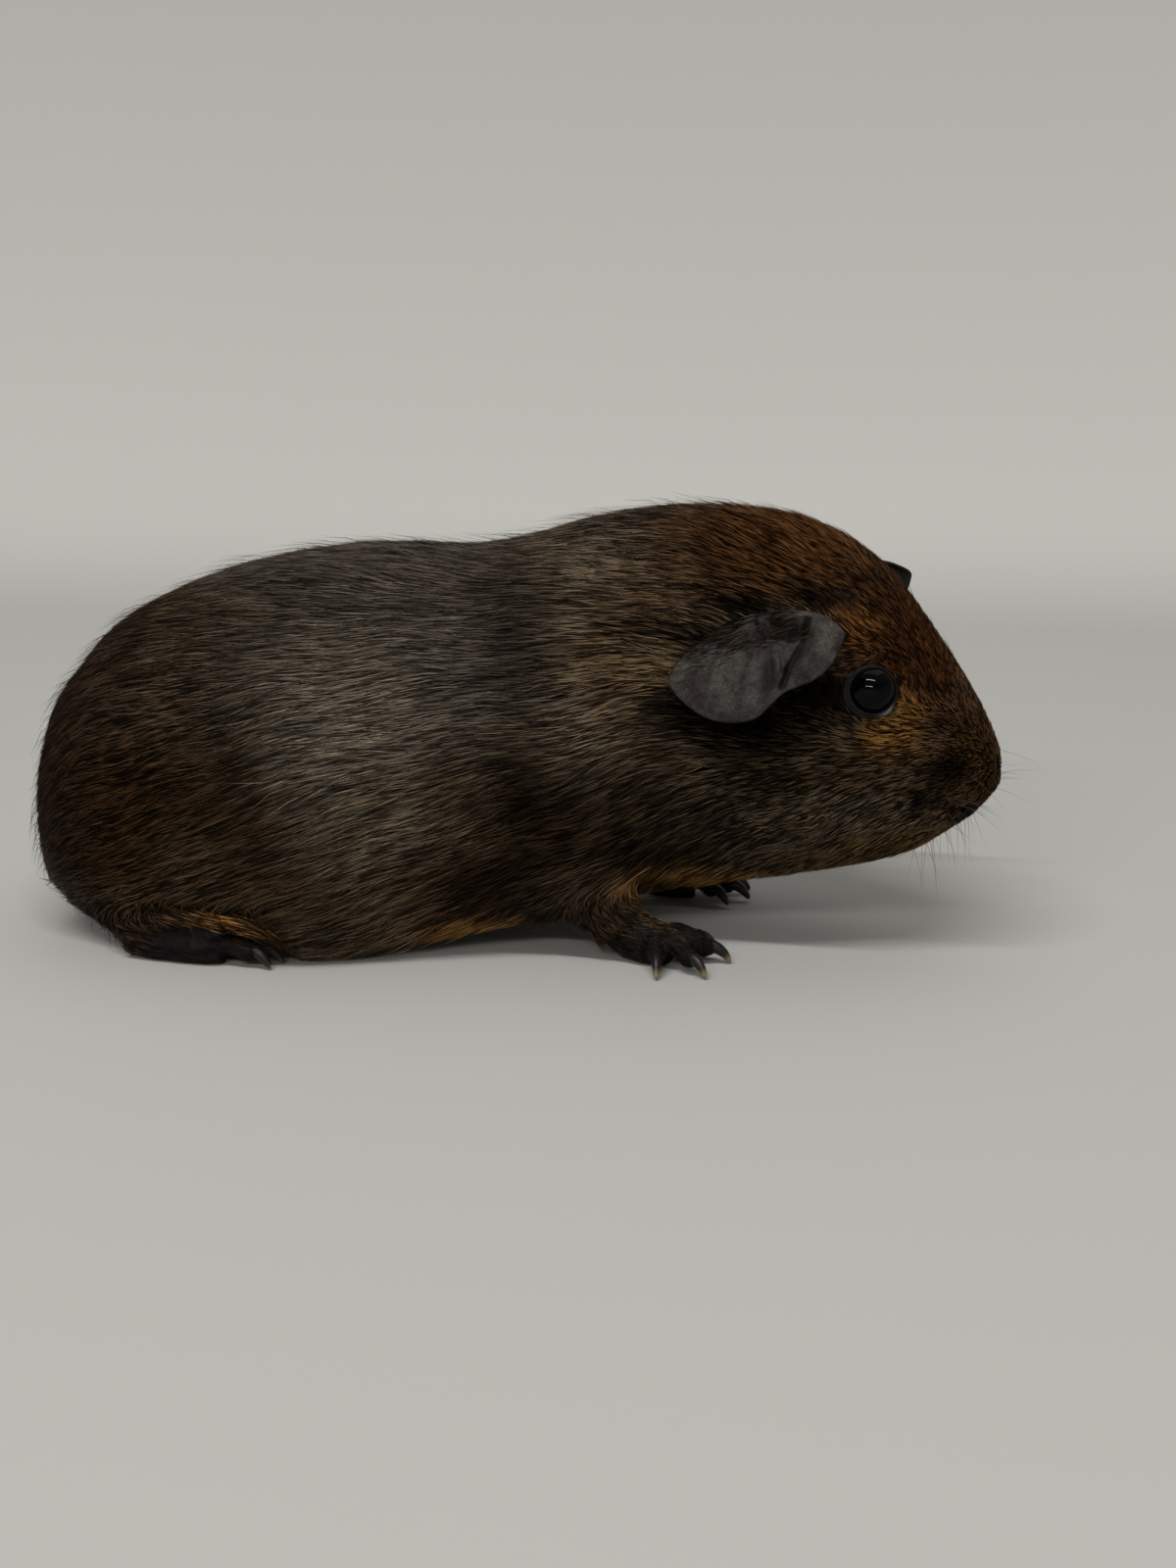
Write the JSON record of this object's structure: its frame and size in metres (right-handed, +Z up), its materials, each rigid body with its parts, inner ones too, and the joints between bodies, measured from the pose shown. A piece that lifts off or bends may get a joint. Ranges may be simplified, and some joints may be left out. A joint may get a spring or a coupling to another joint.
{
  "type": "guinea pig",
  "caption": "Life-size museum model of a short-haired guinea pig crouching on all fours, its head turned a little to its right.",
  "frame": {"origin": "on the floor under the middle of the animal's bounding box", "axes": "+X from rump to nose, +Y to the animal's left, +Z up"},
  "size_m": [0.2382, 0.0972, 0.1063],
  "materials": {
    "coat": "short sleek dark brown hair with rust and grey tips",
    "bare_skin": "thin bare charcoal-grey skin, satin",
    "foot_skin": "black skin under very short black hair",
    "eye": "glossy black, wet",
    "claw": "dark horn with a paler tip, satin"
  },
  "bodies": {
    "root": {"eye_right": "eye", "ear_right": "bare_skin", "eye_left": "eye", "ear_left": "bare_skin", "hindfoot_right": "foot_skin", "claw_hind_right_1": "claw", "claw_hind_right_2": "claw", "claw_hind_right_3": "claw", "thigh_right": "coat", "hindfoot_left": "foot_skin", "claw_hind_left_1": "claw", "claw_hind_left_2": "claw", "claw_hind_left_3": "claw", "thigh_left": "coat", "forefoot_right": "foot_skin", "claw_fore_right_1": "claw", "claw_fore_right_2": "claw", "claw_fore_right_3": "claw", "claw_fore_right_4": "claw", "foreleg_right": "coat", "forefoot_left": "foot_skin", "claw_fore_left_1": "claw", "claw_fore_left_2": "claw", "claw_fore_left_3": "claw", "claw_fore_left_4": "claw", "foreleg_left": "coat", "trunk": "coat", "neck": "coat", "head": "coat"}
  },
  "joints": []
}
